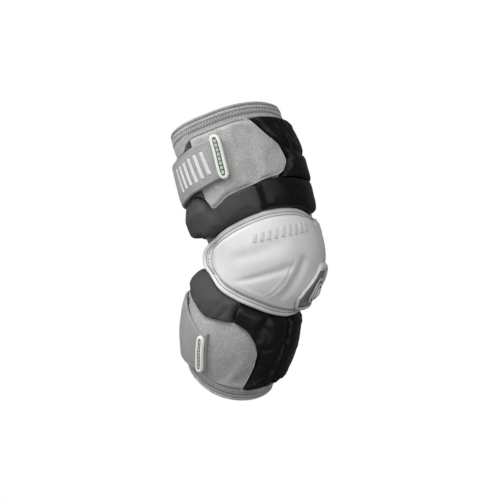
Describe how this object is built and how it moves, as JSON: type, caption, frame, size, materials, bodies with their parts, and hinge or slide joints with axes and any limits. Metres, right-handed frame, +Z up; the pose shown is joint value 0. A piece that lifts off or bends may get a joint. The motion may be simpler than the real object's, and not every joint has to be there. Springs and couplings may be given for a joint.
{
  "type": "lacrosse arm pad",
  "caption": "Sleeve pad for the arm of a lacrosse player, with foam blocks, a moulded elbow cap, fabric side panels and wrap straps with pull tabs.",
  "frame": {"origin": "centre of the arm inside the sleeve at the elbow", "axes": "+Z up along the worn arm towards the shoulder; +X towards the point of the elbow; -Y towards the outer side with the pull tabs"},
  "size_m": [0.1603, 0.1317, 0.2918],
  "materials": {
    "liner": "brushed knit",
    "band": "knit, stitched",
    "grey_panel": "brushed knit, bound edges",
    "black_pad": "matt coated cloth over foam",
    "strap": "elastic webbing with a brushed face",
    "pull_tab": "satin moulded",
    "cap": "satin moulded foam skin"
  },
  "bodies": {
    "root": {"upper_arm_liner": "liner", "elbow_liner": "liner", "forearm_liner": "liner", "upper_band": "band", "lower_band": "band", "upper_rim_binding": "band", "lower_rim_binding": "band", "upper_side_panel_lateral": "grey_panel", "upper_side_panel_medial": "grey_panel", "lower_side_panel_lateral": "grey_panel", "lower_side_panel_medial": "grey_panel", "lower_crook_pad": "grey_panel", "upper_pad_top": "black_pad", "upper_pad_middle": "black_pad", "elbow_roll_outer": "black_pad", "elbow_roll_lateral": "black_pad", "elbow_roll_medial": "black_pad", "elbow_roll_back_lateral": "black_pad", "elbow_roll_back_medial": "black_pad", "upper_crook_pad": "black_pad", "forearm_pad_middle": "black_pad", "forearm_pad_lateral": "black_pad", "forearm_pad_medial": "black_pad", "forearm_collar_lateral": "black_pad", "forearm_collar_medial": "black_pad", "upper_strap": "strap", "lower_strap": "strap", "upper_pull_tab": "pull_tab", "lower_pull_tab": "pull_tab", "elbow_cap": "cap", "elbow_cap_frame": "cap", "elbow_medallion": "cap"}
  },
  "joints": []
}
